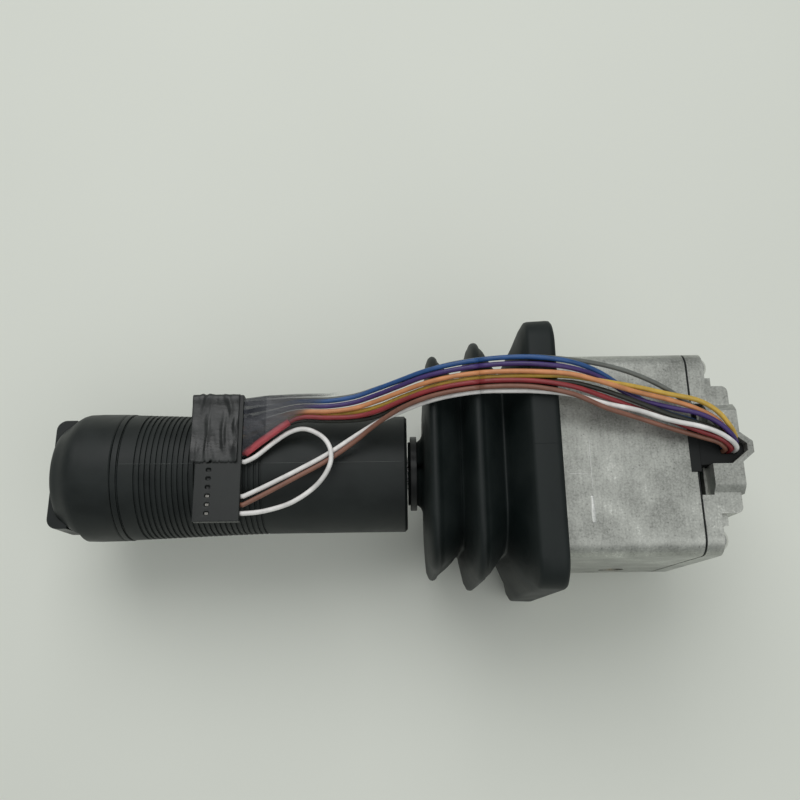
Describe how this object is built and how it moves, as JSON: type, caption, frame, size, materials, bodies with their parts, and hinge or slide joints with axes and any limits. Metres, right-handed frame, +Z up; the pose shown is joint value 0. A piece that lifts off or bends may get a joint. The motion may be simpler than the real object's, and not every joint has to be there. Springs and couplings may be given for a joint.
{
  "type": "industrial joystick",
  "caption": "Two-axis panel-mount hand-grip joystick with rubber boot, thumb rocker, square die-cast housing and a loose multi-wire harness taped to the grip",
  "frame": {"origin": "on the stick's axis, in the plane of the panel seat (the flange's rear face)", "axes": "+X along the stick towards the rear cover, +Y across the joystick, +Z up as it lies on one side of its boot; the grip points to -X"},
  "size_m": [0.207, 0.0768, 0.0805],
  "materials": {
    "die_cast": "as cast, slightly mottled",
    "moving_cast": "satin",
    "brass_part": "satin",
    "steel": "satin",
    "spring_steel": "satin",
    "screw_zinc": "bright zinc",
    "magnet": "plated",
    "boot_rubber": "matte, light on the folds",
    "gasket_rubber": "matte",
    "grip_plastic": "matte, fine grain",
    "cap_plastic": "matte, fine grain",
    "rocker_plastic": "satin",
    "switch_plastic": "matte",
    "plunger_plastic": "matte",
    "board": "gloss",
    "chip": "matte",
    "plug_plastic": "matte",
    "contact_metal": "tin plated",
    "tape": "semi-gloss vinyl",
    "film": "semi-gloss, translucent",
    "grey_cable": "satin PVC",
    "blue_cable": "satin PVC",
    "purple_cable": "satin PVC",
    "orange_cable": "satin PVC",
    "yellow_cable": "satin PVC",
    "black_cable": "satin PVC",
    "red_cable": "satin PVC",
    "white_cable": "satin PVC",
    "brown_cable": "satin PVC"
  },
  "bodies": {
    "base": {"housing": "die_cast", "pivot_bushings": "brass_part", "spring_posts": "brass_part", "fore_spring": "spring_steel", "side_spring": "spring_steel", "cover_gasket": "gasket_rubber", "rear_cover": "die_cast", "cover_screws": "screw_zinc", "hood_screws": "screw_zinc", "cable_grommet": "gasket_rubber", "circuit_board": "board", "hall_sensors": "chip", "board_screws": "screw_zinc", "boot": "boot_rubber", "wire_grey": "grey_cable", "wire_blue": "blue_cable", "wire_purple": "purple_cable", "wire_orange": "orange_cable", "wire_yellow": "yellow_cable", "wire_black": "black_cable", "wire_red": "red_cable", "wire_white": "white_cable", "wire_brown": "brown_cable"},
    "gimbal": {"gimbal_yoke": "moving_cast", "gimbal_magnet": "magnet"},
    "bail": {"slotted_bail": "moving_cast", "bail_magnet": "magnet"},
    "stick": {"stick_shaft": "steel", "cross_pin": "steel", "boot_clamp": "screw_zinc", "grip_half_left": "grip_plastic", "grip_half_right": "grip_plastic", "grip_screws": "screw_zinc", "stick_nut": "screw_zinc", "cap_ring": "cap_plastic", "cap": "cap_plastic", "rocker_pin": "steel", "rocker_switch": "switch_plastic", "plunger_spring_left": "spring_steel", "plunger_spring_right": "spring_steel", "connector_housing": "plug_plastic", "connector_contacts": "contact_metal", "tape_wrap": "tape", "harness_film": "film", "wire_jumper": "white_cable"},
    "rocker": {"rocker": "rocker_plastic"},
    "plunger_left": {"plunger_left": "plunger_plastic"},
    "plunger_right": {"plunger_right": "plunger_plastic"}
  },
  "joints": [
    {"name": "fore_aft_tilt", "type": "hinge", "parent": "base", "child": "gimbal", "pos_m": [0.014, 0, 0], "axis": [0, 1, 0], "range_deg": [-20, 20], "stiffness_Nm_per_rad": 4, "deforming": ["wire_grey", "wire_blue", "wire_purple", "wire_orange", "wire_yellow", "wire_black", "wire_red", "wire_white", "wire_brown", "boot", "fore_spring"]},
    {"name": "side_tilt", "type": "hinge", "parent": "gimbal", "child": "stick", "pos_m": [0.014, 0, 0], "axis": [0, 0, 1], "range_deg": [-20, 20], "stiffness_Nm_per_rad": 4, "deforming": ["wire_grey", "wire_blue", "wire_purple", "wire_orange", "wire_yellow", "wire_black", "wire_red", "wire_white", "wire_brown", "boot"]},
    {"name": "bail_swing", "type": "hinge", "parent": "base", "child": "bail", "pos_m": [0.014, 0, 0], "axis": [0, 0, 1], "range_deg": [-21, 21], "deforming": ["side_spring"]},
    {"name": "rocker_tilt", "type": "hinge", "parent": "stick", "child": "rocker", "pos_m": [-0.1467, 0, 0], "axis": [0, 0, 1], "range_deg": [-8, 8], "stiffness_Nm_per_rad": 0.3},
    {"name": "plunger_left_press", "type": "slide", "parent": "stick", "child": "plunger_left", "axis": [1, 0, 0], "range_m": [-0.00135, 0.00135], "deforming": ["plunger_spring_left"]},
    {"name": "plunger_right_press", "type": "slide", "parent": "stick", "child": "plunger_right", "axis": [1, 0, 0], "range_m": [-0.00135, 0.00135], "deforming": ["plunger_spring_right"]}
  ],
  "couplings": [
    {"joint": "bail_swing", "follows": "side_tilt", "ratio": 1},
    {"joint": "plunger_left_press", "follows": "rocker_tilt", "m_per_rad": -0.009},
    {"joint": "plunger_right_press", "follows": "rocker_tilt", "m_per_rad": 0.009}
  ]
}
